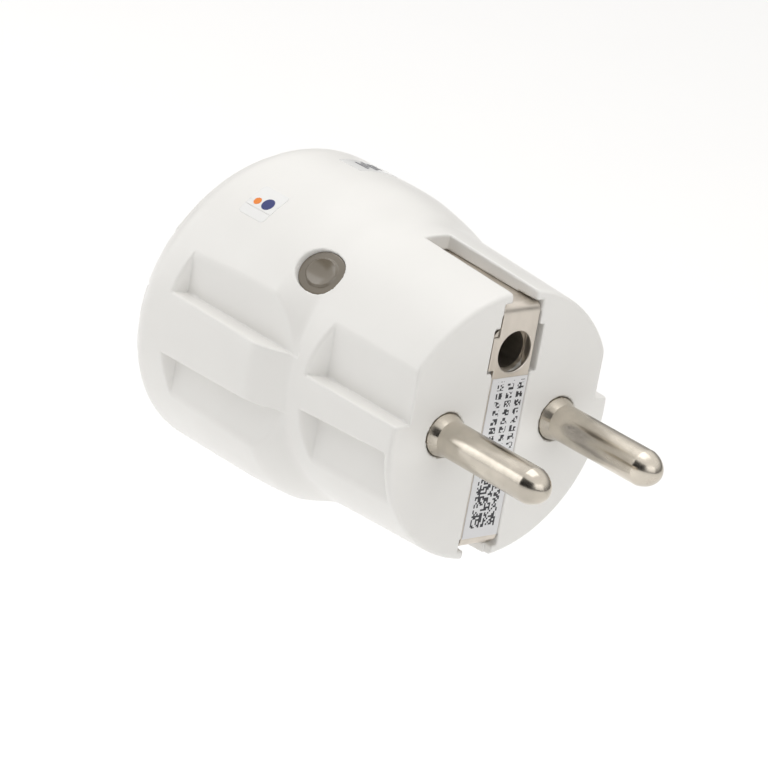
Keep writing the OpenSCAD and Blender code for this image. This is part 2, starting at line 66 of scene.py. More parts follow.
# The bore: half its width between the grips, and its radius at each of some depths
BORE_HALF = 14.3
BORE_DEPTHS = [2.6, SLOT_END, 22.2, 24, 26.5, 29.2]
BORE_RADII = [16.75, 17.35, 17.9, 18.7, 19.3, 20.3]
# The socket: radius of its well, its floor, the back of that floor, and its outer radius
WELL_R, WELL_FLOOR, FLOOR_BACK, INSERT_R = 19.4, 31.0, 29.2, 20.2
# The flat guides at the well's sides: their outer face, and the edges of the recess behind them
GUIDE_X, GUIDE_LOW, GUIDE_HIGH = 17.1, 2.85, 11.1
# A screw post's place, with its twin across the middle, and the height of the socket's bosses
POST, BOSS_UP = (-8.4, 12.0), 12.8
# Ends that lie clear of the body: before its face, past its sides, and beyond its rim
BEFORE, PAST, BEYOND = -9, 40, 90


# ---------------------------------------------------------------- distance fields
def smax(a, b, k=0.0):
    """The larger of two fields, with a corner rounded over about k."""
    if not k:
        return np.maximum(a, b)
    h = np.maximum(k - np.abs(a - b), 0) / k
    return np.maximum(a, b) + h * h * k * 0.25


def smin(a, b, k=0.0):
    """The smaller of two fields, blended over about k."""
    return -smax(-a, -b, k)


def cut(solid, tool, k):
    """The solid without the tool, with the new corner rounded over about k."""
    return smax(solid, -tool, k)


def block(x, v, w, xs, vs, ws, k=0.3):
    """A box, given as (low, high) pairs."""
    f = smax(np.maximum(xs[0] - x, x - xs[1]), np.maximum(vs[0] - v, v - vs[1]), k)
    return smax(f, np.maximum(ws[0] - w, w - ws[1]), k)


def tilted(v, w, pivot, lean):
    """v and w seen from a frame that leans about x, with its origin at a depth."""
    c, s = math.cos(lean), math.sin(lean)
    return v * c + (w - pivot) * s, -v * s + (w - pivot) * c


def rim_field(x, v, w):
    """Inside of the leaning rim and its soft edge."""
    arc_r, arc_at, arc_in = 7.5, 14.5, 5.5
    v2, w2 = tilted(v, w, BODY_LEN, -RIM_LEAN)
    s, r = -w2, np.hypot(x, v2)
    arc = np.hypot(r - arc_at, s - arc_in) - arc_r
    side = r - (arc_at + arc_r + 0.12 * np.maximum(s - arc_in, 0))
    return smax(np.where((s < arc_in) & (r > arc_at), arc, side), -s, 0.4)


def ease(low, high, value):
    """A soft step from 0 to 1 between low and high."""
    t = np.clip((value - low) / (high - low), 0, 1)
    return t * t * (3 - 2 * t)


def shoulder_radius(up, w):
    """A long bow on top and underneath, a short ramp at the sides and a slope low down."""
    q = np.maximum(0, 1 - (w - 19.9) / 5.1)
    side = 21.45 - 2.45 * q**1.4
    top = 21.5 - 1.95 * np.maximum(0, (33 - w) / 10.7) ** 2
    below = -smax(-18.75 - 0.38 * (w - 18.3), -20.95 - 0.085 * (w - 24.3), 0.5)
    r = side + ease(0.3, 0.95, up) * (top - side)
    r += ease(0.35, 0.95, -up) * (below - r)
    return r + ease(0.89, 0.965, -up) * (top - r)


def outer_field(x, v, w):
    """The body before anything is cut out of it."""
    r = np.hypot(x, v)
    up = v / np.maximum(r, 1)
    cone = r - (FACE_R + DRAFT * w) - 0.015 * w * up
    plug = smax(smax(cone, -w, 0.7), w - PLUG_END)
    shoulder = (r - shoulder_radius(up, w)) * 0.88
    socket = smax(smax(shoulder, r - BODY_R, 0.3), rim_field(x, v, w), 0.3)
    return smin(plug, np.maximum(socket, 17 - w), 0.45)


def grip_field(x, v, w, floor, rib, end, lean):
    """The pocket beside a rib: floor and rib are fields, end is the (x, w) foot of the end wall."""
    ax, av = np.abs(x), np.abs(v)
    f = smax(floor - ax, rib + 0.03 * (end[0] + 3 - ax) - av, 0.2)
    return smax(f, ((w - end[1]) - (ax - end[0]) * lean) / math.hypot(1, lean), 0.12)


def bore_field(x, v, w):
    """The hollow inside: narrow between the grips, flat under the strap and notched for guides."""
    r, ax, av = np.hypot(x, v), np.abs(x), np.abs(v)
    f = smax(r - np.interp(w, BORE_DEPTHS, BORE_RADII), BORE_DEPTHS[0] - w, 0.3)
    f = cut(f, np.maximum(BORE_HALF - ax, w - SLOT_END), 0.2)
    strap_top = CONTACT_UP + 0.02 + CONTACT_RISE * w
    f = cut(f, smax(np.maximum(ax - 4.2, strap_top - av), w - 18.5, 0.4), 0.1)
    guides = np.maximum(GUIDE_X + 0.1 - ax, np.maximum(GUIDE_LOW - av, av - GUIDE_HIGH))
    return cut(f, guides, 0.2)


def button_axes(x, v, w):
    """Distance along the button's axis, and distance from that axis."""
    c, s = math.cos(BUTTON_ANGLE), math.sin(BUTTON_ANGLE)
    return x * c + v * s, np.hypot(v * c - x * s, w - BUTTON_AT)


def posts_field(x, v, w, r, start, end):
    """Two round posts or holes at the screws, between two depths."""
    d = np.minimum(np.hypot(x - POST[0], v - POST[1]), np.hypot(x + POST[0], v + POST[1]))
    return np.maximum(d - r, np.maximum(start - w, w - end))


def pins_field(x, v, w, r, start, end):
    """Two round holes at the pins, between two depths."""
    d = np.hypot(np.abs(x) - PIN_X, v)
    return np.maximum(d - r, np.maximum(start - w, w - end))


def cut_grips(f, x, v, w):
    """Pockets above and below a rib, at each side of the plug and of the barrel."""
    plug_grip = grip_field(x, v, w, 15.8 + 0.6 * w / 15.5, 1.9 + 0.026 * w, (16.4, 15.5), 0.643)
    plug_grip = np.where(v < 0, smax(plug_grip, 1.2 - w, 0.4), plug_grip)
    f = cut(f, plug_grip, 0.28)
    start = 19
    floor, rib = 18.5 + 0.0277 * (w - start), 3.8 + 0.018 * (w - 20)
    barrel_grip = grip_field(x, v, w, floor, rib, (19.1, 40.7), 0.54)
    return cut(f, smax(barrel_grip, start - w), 0.28)


def cut_face(f, x, v, w):
    """Recesses for the strap, its wings and the label, and holes for the pins and the sleeve."""
    ax, av = np.abs(x), np.abs(v)
    bed, bed_edge, bed_end = 3.15, 3.3, 16.6
    f = cut(f, block(ax, av, w, (BEFORE, bed), (BEFORE, bed_end), (BEFORE, 0.7), 0.15), 0.25)
    f = cut(f, block(ax, av, w, (BEFORE, bed), (SLOT_BED, bed_end), (BEFORE, 3.6), 0.15), 0.25)
    f = cut(f, block(ax, v, w, (BEFORE, bed_edge), (7.0, 15.1), (BEFORE, 1.7), 0.2), 0.2)
    f = cut(f, block(x, v, w, (-4.05, 0), (7.1, 13.4), (BEFORE, 2.3), 0.15), 0.15)
    f = cut(f, block(x, v, w, (0, 4.15), (7.4, 13.4), (BEFORE, 1.4), 0.15), 0.15)
    f = cut(f, block(ax, v, w, (BEFORE, bed_edge), (-16.4, -15.1), (BEFORE, 1.2), 0.1), 0.15)
    f = cut(f, block(ax, v, w, (BEFORE, 2.4), (-PAST, -15.1), (BEFORE, 1.2), 0.1), 0.15)
    f = cut(f, pins_field(x, v, w, PIN_HOLE_R, BEFORE, 4.6), 0.1)
    return cut(f, np.maximum(np.hypot(x, v - EARTH_UP) - 3.3, w - 4), 0.15)


def housing_field(p):
    """The whole white moulding."""
    x, v, w = p[:, 0], p[:, 1], p[:, 2]
    ax, av = np.abs(x), np.abs(v)
    f = cut_grips(outer_field(x, v, w), x, v, w)
    f = cut(f, block(ax, av, w, (BEFORE, SLOT_HALF), (SLOT_BED, PAST), (BEFORE, SLOT_END)), 0.35)
    # Near the rim the bore's corner is rounder
    bore = bore_field(x, v, w)
    f = np.where(w > 42, cut(f, bore, 0.6), cut(f, bore, 0.2))
    f = smin(f, posts_field(x, v, w, 2, 2, FLOOR_BACK - 0.05), 0.3)
    f = cut(f, posts_field(x, v, w, 1.02, 21.2, PAST), 0.1)
    f = cut_face(f, x, v, w)
    rho, off = button_axes(x, v, w)
    return cut(f, np.maximum(off - BUTTON_HOLE_R, BUTTON_FLOOR - rho), 0.2)


def around(x, v, middle):
    """Distance round the barrel from an angle, in millimetres."""
    c, s = math.cos(math.radians(middle)), math.sin(math.radians(middle))
    return BODY_R * np.arctan2(v * c - x * s, x * c + v * s)


def film_field(p, middle, depth, half_t, half_w, corner, lift):
    """A thin rounded sheet that lies on the barrel."""
    x, v, w = p[:, 0], p[:, 1], p[:, 2]
    t = np.abs(around(x, v, middle)) - (half_t - corner)
    d = np.abs(w - depth) - (half_w - corner)
    edge = np.hypot(np.maximum(t, 0), np.maximum(d, 0)) + np.minimum(np.maximum(t, d), 0) - corner
    return smax(edge, np.abs(outer_field(x, v, w)) - lift, 0.02)


def print_field(p, middle, depth, outline, lift):
    """Ink on a film: outline gives a flat distance from the place round and along the barrel."""
    x, v, w = p[:, 0], p[:, 1], p[:, 2]
    flat = outline(around(x, v, middle), w - depth)
    return np.maximum(flat, np.abs(outer_field(x, v, w)) - lift)


def insert_field(p):
    """The socket: a round well with flat guides, side notches, pin holes and clip windows."""
    x, v, w = p[:, 0], p[:, 1], p[:, 2]
    r, ax, av = np.hypot(x, v), np.abs(x), np.abs(v)
    blank = smax(smax(r - INSERT_R, FLOOR_BACK - w), rim_field(x, v, w), 0.4)
    notch = block(ax, av, w, (GUIDE_X, PAST), (2.75, 11.2), (0, BEYOND), 0.3)
    f = cut(blank, smax(r - WELL_R, WELL_FLOOR - w, 0.6), 0.35)
    guide = block(ax, av, w, (16.2, GUIDE_X), (3.6, 8.8), (29, BEYOND), 0.3)
    f = smin(cut(f, notch, 0.3), smax(guide, blank, 0.3), 0.3)
    wall = block(ax, av, w, (16.5, GUIDE_X), (2.9, GUIDE_HIGH), (29, BEYOND), 0.2)
    f = smin(f, smax(wall, blank, 0.3), 0.2)
    boss = np.hypot(x, av - BOSS_UP)
    f = smin(f, np.maximum(boss - 2, np.abs(w - 28.7) - 1), 0.1)
    entry = 2.7 + np.clip(w - 30.2, 0, 0.8) * 1.1
    f = cut(f, np.hypot(ax - PIN_X, v) - entry, 0.2)
    f = cut(f, block(ax, av, w, (BEFORE, 3.1), (17, PAST), (0, 45.5), 0.2), 0.25)
    f = cut(f, posts_field(x, v, w, 1.1, 0, BEYOND), 0.1)
    f = cut(f, posts_field(x, v, w, 2.05, 30, BEYOND), 0.2)
    return cut(f, np.maximum(boss - 0.92, w - 29.9), 0.1)


def strap_field(p):
    """The earth strap: down the face, round two bends and back along the plug."""
    x, v, w = p[:, 0], p[:, 1], p[:, 2]
    ax, av = np.abs(x), np.abs(v)
    thick, front = 0.5, 0.15
    skin = smax(front - w, av - (CONTACT_UP + CONTACT_RISE * w), 1.3)
    core = smax(front + thick - w, av - (CONTACT_UP - thick + CONTACT_RISE * w), 0.9)
    f = cut(smax(skin, w - 16, 0.1), core, 0.0)
    f = smax(f, ax - STRAP_HALF, 0.12)
    f = smin(f, block(x, v, w, (2.6, 3.95), (7.75, 12.2), (front, 0.6), 0.1), 0.08)
    f = smin(f, block(x, v, w, (-STRAP_HALF, -2.65), (7.6, 13.2), (0.25, 1.5), 0.1), 0.15)
    return cut(f, np.maximum(np.hypot(x, v - EARTH_UP) - 2.7, w - 4), 0.25)


def cap_field(p):
    """The button: its top follows the shoulder, with a raised ring round a shallow dish."""
    x, v, w = p[:, 0], p[:, 1], p[:, 2]
    dish_r = 1.85
    rho, off = button_axes(x, v, w)
    ring = 0.24 * ease(2.15, dish_r, off) - 0.34 * np.maximum(0, 1 - (off / dish_r) ** 2)
    top = 19.42 + 0.25 * (w - BUTTON_AT) - 0.12 * (off / 3) ** 2 + ring
    body = smax(smax(rho - top, off - 3.06, 0.15), 15.9 - rho, 0.1)
    flange = smax(off - 3.75, np.abs(rho - 16.25) - 0.33, 0.1)
    stem = smax(off - 1.4, np.abs(rho - 15.8) - 0.14, 0.05)
    return np.minimum(np.minimum(body, flange), stem)


# ---------------------------------------------------------------- meshing
def place(p):
    """From (x, v, w) in millimetres to the part's frame in metres."""
    return np.stack([p[:, 0], -p[:, 2], p[:, 1]], 1) * MM


def gradient(field, p, e=0.01):
    """The field's slope at each point, by central differences."""
    g = np.empty_like(p)
    for i in range(3):
        d = np.zeros(3)
        d[i] = e
        g[:, i] = (field(p + d) - field(p - d)) / (2 * e)
    return g


def sample(field, axes, skip=4):
    """The field on a grid, worked out only near its surface."""
    shape = [len(a) for a in axes]
    rough = [a[::skip] for a in axes]
    grid = np.stack(np.meshgrid(*rough, indexing="ij"), -1).reshape(-1, 3)
    coarse = field(grid).reshape([len(a) for a in rough])
    near = [np.minimum((np.arange(n) + skip // 2) // skip, len(r) - 1)
            for n, r in zip(shape, rough)]
    f = coarse[np.ix_(*near)].astype(np.float64)
    step = axes[0][1] - axes[0][0]
    reach = (skip * 0.87 + 1.8) * 1.15
    close = np.argwhere(np.abs(f) < step * reach)
    p = np.stack([axes[i][close[:, i]] for i in range(3)], 1)
    f[close[:, 0], close[:, 1], close[:, 2]] = field(p)
    return f


def net(f, lo, step):
    """One point per cell that the surface crosses, and a four-sided face per crossed edge."""
    inside = f < 0
    n = np.array(f.shape)
    total = np.zeros(n - 1, np.uint8)
    corners = [np.array(c) for c in np.ndindex(2, 2, 2)]
    for c in corners:
        total += inside[c[0]:n[0] - 1 + c[0], c[1]:n[1] - 1 + c[1], c[2]:n[2] - 1 + c[2]]
    active = (total > 0) & (total < 8)
    index = np.full(n - 1, -1, np.int64)
    cells = np.argwhere(active)
    index[active] = np.arange(len(cells))
    point_sum, crossings = np.zeros((len(cells), 3)), np.zeros(len(cells))
    for a in corners:
        for axis in range(3):
            if a[axis]:
                continue
            b = a.copy()
            b[axis] = 1
            fa = f[tuple((cells + a).T)]
            fb = f[tuple((cells + b).T)]
            hit = (fa < 0) != (fb < 0)
            t = fa[hit] / (fa[hit] - fb[hit])
            point_sum[hit] += a + t[:, None] * (b - a)
            crossings[hit] += 1
    points = lo + step * (cells + point_sum / crossings[:, None])
    faces = []
    for axis in range(3):
        low, high = [slice(None)] * 3, [slice(None)] * 3
        low[axis], high[axis] = slice(0, -1), slice(1, None)
        first, second = inside[tuple(low)], inside[tuple(high)]
        edge = np.argwhere(first != second)
        out = first[tuple(edge.T)]
        side, up = np.roll(np.eye(3, dtype=int), -axis - 1, axis=0)[:2]
        ring = [index[tuple((edge - d).T)] for d in (side + up, up, 0 * up, side)]
        quad = np.stack(ring, 1)
        quad[~out] = quad[~out][:, ::-1]
        faces.append(quad)
    return points, np.concatenate(faces)


def quads(name, points, faces, normals):
    """A smooth object of four-sided faces, shaded by the given normals."""
    mesh = bpy.data.meshes.new(name)
    mesh.vertices.add(len(points))
    mesh.vertices.foreach_set("co", place(points).astype(np.float32).ravel())
    mesh.loops.add(faces.size)
    mesh.loops.foreach_set("vertex_index", faces.astype(np.int32).ravel())
    mesh.polygons.add(len(faces))
    mesh.polygons.foreach_set("loop_start", np.arange(0, faces.size, 4, dtype=np.int32))
    mesh.polygons.foreach_set("use_smooth", np.ones(len(faces), bool))
    mesh.update(calc_edges=True)
    mesh.validate()
    mesh.normals_split_custom_set_from_vertices(place(normals) / MM)
    obj = bpy.data.objects.new(name, mesh)
    bpy.context.scene.collection.objects.link(obj)
    return obj


def surface(name, field, low, high, step):
    """A closed mesh on the zero level of a field, shaded by the field's own slope."""
    low = np.array(low, float)
    axes = [l + step * np.arange(int((h - l) / step) + 2) for l, h in zip(low, high)]
    points, faces = net(sample(field, axes), low, step)
    for _ in range(3):  # each pass draws the points onto the surface, along its slope
        g = gradient(field, points)
        move = (field(points) / np.maximum((g**2).sum(1), 0.2))[:, None] * g
        length = np.linalg.norm(move, axis=1, keepdims=True)
        points -= move * np.minimum(1, 0.35 * step / np.maximum(length, 1e-9))
    g = gradient(field, points)
    g /= np.maximum(np.linalg.norm(g, axis=1, keepdims=True), 1e-9)
    return quads(name, points, faces, g)


def lathe(name, profile, origin, along, count=96):
    """A closed turned mesh: profile is (radius, distance along the axis) from pole to pole."""
    along = np.array(along, float)
    side = np.array([0, 0, 1.0]) if abs(along[2]) < 0.9 else np.array([1.0, 0, 0])
    a = np.cross(along, side)
    a /= np.linalg.norm(a)
    b = np.cross(along, a)
    turn = np.linspace(0, 2 * math.pi, count, endpoint=False)
    ring = np.cos(turn)[:, None] * a + np.sin(turn)[:, None] * b
    points = np.concatenate([
        np.array(origin) + along * d + ring * max(r, 0.02) for r, d in profile
    ])
    k = np.arange(count)
    faces = [np.stack([k, (k + 1) % count, (k + 1) % count + count, k + count], 1) + i * count
             for i in range(len(profile) - 1)]
    mesh = bpy.data.meshes.new(name)
    last = (len(profile) - 1) * count
    caps = [list(range(count))[::-1], list(range(last, last + count))]
    mesh.from_pydata(place(points).tolist(), [], np.concatenate(faces).tolist() + caps)
    mesh.polygons.foreach_set("use_smooth", [True] * len(mesh.polygons))
    mesh.update()
    obj = bpy.data.objects.new(name, mesh)
    bpy.context.scene.collection.objects.link(obj)
    bpy.context.view_layer.objects.active = obj
    obj.modifiers.new("normals", "WEIGHTED_NORMAL").weight = 50
    return obj


def rounded(profile, radius, steps=5):
    """A (radius, distance) profile with its corners rounded; each corner may give its own."""
    out = []
    pts = [np.array(p[:2], float) for p in profile]
    for i, p in enumerate(pts):
        r = profile[i][2] if len(profile[i]) > 2 else radius
        if i in (0, len(pts) - 1) or r == 0:
            out.append(p)
            continue
        before, after = pts[i - 1] - p, pts[i + 1] - p
        la, lb = np.linalg.norm(before), np.linalg.norm(after)
        reach = min(r, la * 0.45, lb * 0.45)
        a, b = p + before / la * reach, p + after / lb * reach
        for t in np.linspace(0, 1, steps):
            out.append((1 - t) ** 2 * a + 2 * t * (1 - t) * p + t**2 * b)
    return [tuple(q) for q in out]


# ---------------------------------------------------------------- materials
class Shader:
    """A Principled material whose textures are laid out in the object's own coordinates."""

    def __init__(self, name, color, rough, metallic=0.0, **sockets):
        self.material = bpy.data.materials.new(name)
        self.material.use_nodes = True
        self.nodes = self.material.node_tree.nodes
        self.links = self.material.node_tree.links
        self.bsdf = self.nodes["Principled BSDF"]
        self.set("Base Color", (*color, 1))
        self.set("Roughness", rough)
        self.set("Metallic", metallic)
        for key, value in sockets.items():
            self.set(key.replace("_", " "), value)
        self.coords = self.nodes.new("ShaderNodeTexCoord").outputs["Object"]

    def set(self, socket, value):
        """A value that is the same all over the surface."""
        self.bsdf.inputs[socket].default_value = value

    def node(self, kind, **inputs):
        """A node: small first letters are its settings, the rest its sockets, I0 the first one."""
        n = self.nodes.new(kind)
        for key, value in inputs.items():
            if key[0].islower():
                setattr(n, key, value)
        for key, value in inputs.items():
            if key[0].islower():
                continue
            socket = n.inputs[int(key[1:])] if key[0] == "I" and key[1:].isdigit() else n.inputs[
                key.replace("_", " ")]
            if isinstance(value, bpy.types.NodeSocket):
                self.links.new(value, socket)
            else:
                socket.default_value = value
        return n

    def noise(self, scale, detail=3.0, stretch=(1, 1, 1)):
        m = self.node("ShaderNodeMapping", Vector=self.coords, Scale=stretch)
        return self.node("ShaderNodeTexNoise", Vector=m.outputs[0], Scale=scale,
                         Detail=detail).outputs["Fac"]

    def ramp(self, value, low, high, to_low, to_high):
        return self.node("ShaderNodeMapRange", Value=value, From_Min=low, From_Max=high,
                         To_Min=to_low, To_Max=to_high).outputs[0]

    def mix(self, factor, a, b):
        m = self.nodes.new("ShaderNodeMix")
        m.data_type = "RGBA"
        for socket, value in ((m.inputs[0], factor), (m.inputs[6], a), (m.inputs[7], b)):
            if isinstance(value, bpy.types.NodeSocket):
                self.links.new(value, socket)
            else:
                socket.default_value = value if isinstance(value, float) else (*value, 1)
        return m.outputs[2]

    def color(self, socket):
        self.links.new(socket, self.bsdf.inputs["Base Color"])

    def rough(self, socket):
        self.links.new(socket, self.bsdf.inputs["Roughness"])

    def bump(self, height, distance):
        b = self.node("ShaderNodeBump", Height=height, Distance=distance, Strength=1.0)
        self.links.new(b.outputs[0], self.bsdf.inputs["Normal"])


def plastic(name, color, rough, grain=0.004, vary=0.03, **sockets):
    """Moulded plastic: fine spark-eroded grain, slight sheen changes and faint colour drift."""
    s = Shader(name, color, rough, **sockets)
    dark = tuple(c * (1 - vary) for c in color)
    s.color(s.mix(s.ramp(s.noise(60, 4), 0.35, 0.65, 0.0, 1.0), dark, color))
    s.rough(s.ramp(s.noise(350, 4), 0.3, 0.7, rough - 0.04, rough + 0.05))
    s.bump(s.noise(4500, 2), grain * MM)
    return s


def metal(name, color, rough, stretch=(1, 1, 1), tarnish=0.12, grain=0.004):
    """Plated or stamped metal with drawing marks along one direction and a light tarnish."""
    s = Shader(name, color, rough, 1.0)
    dark = tuple(c * (1 - tarnish) for c in color)
    s.color(s.mix(s.ramp(s.noise(220, 5), 0.35, 0.7, 0.0, 1.0), dark, color))
    lines = s.noise(900, 4, stretch)
    s.rough(s.ramp(lines, 0.3, 0.7, rough - 0.05, rough + 0.1))
    s.bump(lines, grain * MM)
    return s


white = plastic("white_shell", (0.80, 0.79, 0.765), 0.33)
white_inner = plastic("white_insert", (0.78, 0.77, 0.745), 0.38)
nickel = metal("nickel_pin", (0.69, 0.635, 0.55), 0.2, (1, 0.03, 1), 0.3)
strap_metal = metal("nickel_strap", (0.70, 0.645, 0.575), 0.35, (1, 0.05, 0.05))
steel = metal("steel", (0.56, 0.56, 0.57), 0.3, (0.1, 1, 1))
copper = metal("copper", (0.80, 0.42, 0.26), 0.28, (1, 0.1, 1))
brass = metal("brass", (0.78, 0.60, 0.30), 0.27, (1, 0.1, 1))
gold = metal("gold_pin", (0.85, 0.66, 0.32), 0.25)
can = metal("can", (0.35, 0.36, 0.40), 0.35)
dark = plastic("dark_plastic", (0.025, 0.026, 0.03), 0.45)
ivory = plastic("ivory_plastic", (0.70, 0.68, 0.60), 0.4)
grey = plastic("grey_plastic", (0.09, 0.09, 0.10), 0.45)
red = plastic("red_plastic", (0.55, 0.07, 0.035), 0.4)
yellow = plastic("yellow_plastic", (0.62, 0.38, 0.03), 0.42)
blue = plastic("blue_coat", (0.02, 0.07, 0.27), 0.3)
green = plastic("green_coat", (0.09, 0.24, 0.12), 0.42)
ferrite = plastic("ferrite", (0.035, 0.035, 0.037), 0.6, 0.01)
led = plastic("led", (0.80, 0.80, 0.62), 0.2)
smoke = plastic("smoke_cap", (0.165, 0.14, 0.105), 0.22, 0.001, 0.06, Coat_Weight=0.6)


def board_material():
    """Solder resist over copper tracks."""
    resist, over_track = (0.02, 0.12, 0.05), (0.05, 0.24, 0.10)
    s = Shader("board", resist, 0.3)
    tracks = s.node("ShaderNodeTexVoronoi", feature="DISTANCE_TO_EDGE", Vector=s.coords,
                    Scale=420.0).outputs["Distance"]
    s.color(s.mix(s.ramp(tracks, 0.06, 0.1, 0.0, 1.0), over_track, resist))
    s.bump(s.ramp(tracks, 0.06, 0.1, 1.0, 0.0), 0.02 * MM)
    return s


board = board_material()
film = plastic("sticker_film", (0.80, 0.80, 0.79), 0.18, 0.001)
ink_blue = plastic("ink_blue", (0.02, 0.03, 0.16), 0.3)
ink_orange = plastic("ink_orange", (0.80, 0.22, 0.02), 0.3)
ink_dark = plastic("ink_dark", (0.03, 0.03, 0.05), 0.35)


def label_material():
    """Foil label: three columns of short dashes and a block of random cells."""
    s = Shader("label", (0.55, 0.55, 0.56), 0.38)
    xyz = s.node("ShaderNodeSeparateXYZ", Vector=s.coords)
    x, z = xyz.outputs["X"], xyz.outputs["Z"]

    def calc(op, a, b=0.0, c=0.0):
        return s.node("ShaderNodeMath", operation=op, I0=a, I1=b, I2=c).outputs[0]

    def within(value, low, high):
        return calc("MULTIPLY", calc("GREATER_THAN", value, low), calc("LESS_THAN", value, high))

    def cells(size, seed):
        u = calc("FLOOR", calc("DIVIDE", x, size * MM))
        t = calc("FLOOR", calc("DIVIDE", z, size * MM))
        v = s.node("ShaderNodeCombineXYZ", X=u, Y=t, Z=seed)
        return s.node("ShaderNodeTexWhiteNoise", Vector=v.outputs[0]).outputs["Value"]

    code_area = calc("MULTIPLY", within(x, -2.1 * MM, 2.05 * MM), within(z, -13.7 * MM, -5 * MM))
    code = calc("MULTIPLY", code_area, calc("GREATER_THAN", cells(0.26, 3.0), 0.5))
    dash_area = calc("MULTIPLY", within(x, -2.7 * MM, 2.45 * MM), within(z, -4.2 * MM, 6.2 * MM))
    column = calc("FRACT", calc("DIVIDE", calc("ADD", x, 2.7 * MM), 1.72 * MM))
    stroke = calc("GREATER_THAN", cells(0.24, 8.0), 0.42)
    gap = calc("GREATER_THAN", calc("FRACT", calc("DIVIDE", z, 1.16 * MM)), 0.27)
    dashes = calc("MULTIPLY", calc("MULTIPLY", dash_area, within(column, 0.08, 0.7)),
                  calc("MULTIPLY", stroke, gap))
    ink = calc("MAXIMUM", code, dashes)
    s.color(s.mix(ink, (0.70, 0.70, 0.71), (0.02, 0.02, 0.025)))
    s.rough(s.ramp(s.noise(500, 3), 0.3, 0.7, 0.3, 0.42))
    s.bump(s.noise(900, 3), 0.004 * MM)
    return s


label = label_material()
LOOKS = {
    "white_shell": white, "white_insert": white_inner, "nickel": strap_metal, "label": label,
    "sticker": film, "smoke_cap": smoke, "dark_plastic": dark, "ivory_plastic": ivory,
    "led": led, "board": board, "steel": steel, "copper": copper, "gold": gold, "brass": brass,
    "yellow_plastic": yellow, "can": can, "ferrite": ferrite, "blue_coat": blue,
    "green_coat": green, "grey_plastic": grey, "red_plastic": red,
}


def dress(obj, look):
    """Gives an object one material in place of what it has."""
    obj.data.materials.clear()
    obj.data.materials.append(look.material)
    return obj


for part in frame["record"]["subparts"]:
    dress(NODES[part["node"]], LOOKS[part["material_slot"]])


def add(obj, look, replaced=(), body="housing"):
    """Dresses a new piece, sets its body, and hides the nodes it stands for."""
    dress(obj, look)
    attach(obj, body)
    if replaced:
        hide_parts(*replaced)
    return obj


def pin_outline():
    """A shallow domed tip with a faint edge, a straight shank, a conical collar and a tail."""
    edge, rise = math.radians(74), 2.6
    collar_r, collar_end, tail_r, tail_end = 2.88, -2.62, 1.5, -11.0
    tip = [(PIN_R * math.sin(t) / math.sin(edge),
            PIN_LEN - rise * (1 - math.cos(t)) / (1 - math.cos(edge)))
           for t in np.linspace(0, edge, 16)]
    return tip + rounded([
        (PIN_R, PIN_LEN - rise - 0.1, 0), (PIN_R, 1.3, 0.04), (collar_r, 0.02, 0.04),
        (collar_r, collar_end), (3.5, collar_end), (3.5, -3.6), (tail_r, -3.6),
        (tail_r, tail_end), (0.0, tail_end),
    ], 0.07)


shell = surface("shell_moulding", housing_field, (-22, -22, -0.6), (22, 22, 51),
                0.27)
add(shell, white, ["housing_shell", "housing_skirt"])
insert = surface("socket_moulding", insert_field, (-21, -21, 27.4), (21, 21, 51),
                 0.3)
add(insert, white_inner, ["socket_insert"])
strap = surface("earth_strip", strap_field, (-3.6, -17.6, -0.2), (4.5, 17.6, 16.6),
                0.14)
add(strap, strap_metal, ["earth_strap"])

for pin_name, x in (("live_pin", PIN_X), ("neutral_pin", -PIN_X)):
    pin = lathe(pin_name + "_turned", pin_outline(), (x, 0, 0), (0, 0, -1))
    add(pin, nickel, [pin_name])

cap = surface("button_lens", cap_field, (8.4, 7.9, 18.4), (17.6, 17.2, 26.2),
              0.13)
add(cap, smoke, ["button_cap"], "button")


def on_barrel(name, field, middle, depth, half_t, half_w, step):
    """Meshes a field over a patch of the barrel."""
    turn = [math.radians(middle) + k * half_t / BODY_R * 1.1 for k in (-1, 0, 1)]
    radii = (BODY_R - 1.2, BODY_R + 0.2)
    xs = [r * math.cos(a) for a in turn for r in radii]
    vs = [r * math.sin(a) for a in turn for r in radii]
    round_edge, end_edge = 0.3, 0.2
    low = (min(xs) - round_edge, min(vs) - round_edge, depth - half_w - end_edge)
    high = (max(xs) + round_edge, max(vs) + round_edge, depth + half_w + end_edge)
    return surface(name, field, low, high, step)


def dot(t_at, d_at, r):
    """A round outline, at a place round and along the barrel."""
    return lambda t, d: np.hypot(t - t_at, d - d_at) - r


def bars(t, d):
    """Five thin lines of unlike lengths, each with a break, like small print seen from afar."""
    pitch, half_line, half_break = 0.72, 0.17, 0.1
    row = np.clip(np.round(t / pitch), -2, 2)
    end = 1.25 + 0.45 * np.sin(2.3 * row + 1)
    gap = np.abs(d - 0.5 + 0.4 * row) - half_break
    return np.maximum(np.maximum(np.abs(t - pitch * row) - half_line, np.abs(d) - end), -gap)


# Middles of the two stickers: degrees round the barrel, and depth
MARK, INFO = (54, 36.6), (102.5, 36.9)
